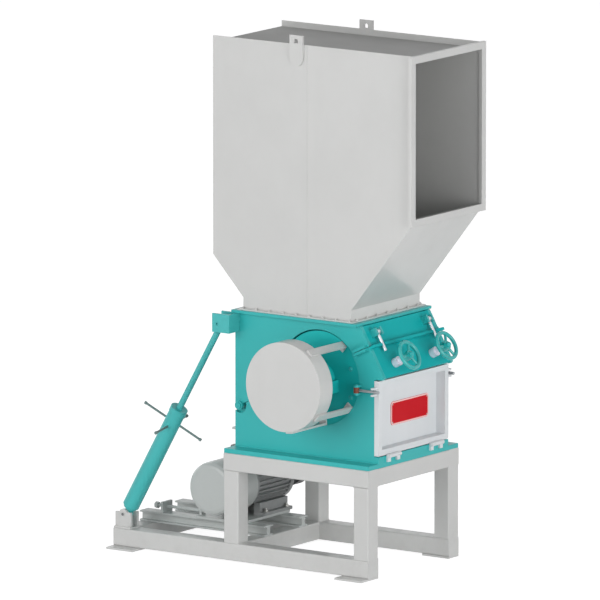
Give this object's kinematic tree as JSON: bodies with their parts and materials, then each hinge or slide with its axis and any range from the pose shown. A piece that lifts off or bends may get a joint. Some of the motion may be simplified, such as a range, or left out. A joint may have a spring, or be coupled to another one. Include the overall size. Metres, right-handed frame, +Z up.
{
  "type": "plastic grinder",
  "caption": "Plastic granulator: square-tube stand, teal cutting chamber, tall tipping hopper, side shaft guard, screw jack, belt drive and a front screen door.",
  "frame": {"origin": "on the floor, in the middle of the machine's whole length and width", "axes": "+X to the feed opening and screen door, +Y to the belt drive, +Z up"},
  "size_m": [1.979, 1.241, 3.009],
  "materials": {
    "grey_paint": "semi-gloss light grey paint",
    "teal_paint": "semi-gloss teal paint",
    "door_paint": "semi-gloss pale grey paint",
    "motor_paint": "matt grey paint on castings",
    "steel": "bare machined steel",
    "belt_rubber": "black rubber"
  },
  "bodies": {
    "root": {"foot_plates": "grey_paint", "side_rails": "grey_paint", "cross_rails": "grey_paint", "legs": "grey_paint", "motor_slide": "motor_paint", "motor_body": "motor_paint", "motor_cowl": "motor_paint", "base_plate": "teal_paint", "lower_side_walls": "teal_paint", "lower_end_walls": "teal_paint", "lower_slope_plate": "teal_paint", "rear_hinge": "teal_paint", "rear_cover": "grey_paint", "bearings": "teal_paint", "screen": "steel", "bed_knives": "steel", "drive_belts": "belt_rubber", "shaft_guard": "grey_paint", "guard_arms": "grey_paint", "door_hinge": "steel", "jack_base": "grey_paint"},
    "upper": {"upper_side_walls": "teal_paint", "upper_plates": "teal_paint", "top_flange": "teal_paint", "clamp_bolts": "steel", "hopper_base_flange": "grey_paint", "hopper_sides": "grey_paint", "hopper_front": "grey_paint", "hopper_rear": "grey_paint", "hopper_top": "grey_paint", "feed_frame": "grey_paint", "jack_head_bracket": "teal_paint"},
    "rotor_body": {"rotor": "steel", "flywheel": "motor_paint", "rotor_pulley": "motor_paint"},
    "motor_shaft": {"motor_pulley": "motor_paint"},
    "door": {"screen_door": "door_paint", "door_ears": "door_paint"},
    "latch_near": {"near_latch": "steel"},
    "latch_far": {"far_latch": "steel"},
    "wheel_near": {"near_handwheel": "teal_paint"},
    "wheel_far": {"far_handwheel": "teal_paint"},
    "jack_swing_foot": {"jack_foot": "teal_paint"},
    "jack_turning_sleeve": {"jack_sleeve": "teal_paint"},
    "jack_rising_screw": {"jack_screw": "teal_paint"}
  },
  "joints": [
    {"name": "hopper_tilt", "type": "hinge", "parent": "root", "child": "upper", "pos_m": [-0.1895, 0.0755, 0.882], "axis": [0, -1, 0], "range_deg": [0, 45]},
    {"name": "jack_swing", "type": "hinge", "parent": "root", "child": "jack_swing_foot", "pos_m": [-0.9295, -0.3205, 0.193], "axis": [0, -1, 0], "range_deg": [-1, 11.13]},
    {"name": "jack_travel", "type": "slide", "parent": "jack_swing_foot", "child": "jack_rising_screw", "axis": [0.4942, 0, 0.8694], "range_m": [-0.3014, 0.005]},
    {"name": "jack_sleeve_turn", "type": "hinge", "parent": "jack_swing_foot", "child": "jack_turning_sleeve", "pos_m": [-0.9295, -0.3205, 0.193], "axis": [0.4942, 0, 0.8694], "continuous": true},
    {"name": "rotor_spin", "type": "hinge", "parent": "root", "child": "rotor_body", "pos_m": [0.3545, 0.0755, 1.092], "axis": [0, 1, 0], "continuous": true},
    {"name": "motor_spin", "type": "hinge", "parent": "root", "child": "motor_shaft", "pos_m": [-0.4265, 0.0755, 0.366], "axis": [0, 1, 0], "continuous": true},
    {"name": "door_swing", "type": "hinge", "parent": "root", "child": "door", "pos_m": [0.7685, 0.0755, 0.683], "axis": [0, 1, 0], "range_deg": [0, 95]},
    {"name": "near_latch_swing", "type": "hinge", "parent": "root", "child": "latch_near", "pos_m": [0.6235, -0.2945, 1.056], "axis": [0, 0, -1], "range_deg": [0, 100]},
    {"name": "far_latch_swing", "type": "hinge", "parent": "root", "child": "latch_far", "pos_m": [0.6235, 0.4455, 1.056], "axis": [0, 0, 1], "range_deg": [0, 100]},
    {"name": "near_handwheel_turn", "type": "hinge", "parent": "root", "child": "wheel_near", "pos_m": [0.75271, -0.1075, 1.19374], "axis": [0.8678, 0, 0.497], "continuous": true},
    {"name": "far_handwheel_turn", "type": "hinge", "parent": "root", "child": "wheel_far", "pos_m": [0.75271, 0.2585, 1.19374], "axis": [0.8678, 0, 0.497], "continuous": true}
  ],
  "couplings": [
    {"joint": "jack_swing", "follows": "hopper_tilt", "ratio": 0.2251},
    {"joint": "jack_travel", "follows": "hopper_tilt", "m_per_rad": -0.3774},
    {"joint": "motor_spin", "follows": "rotor_spin", "ratio": 2.5}
  ]
}
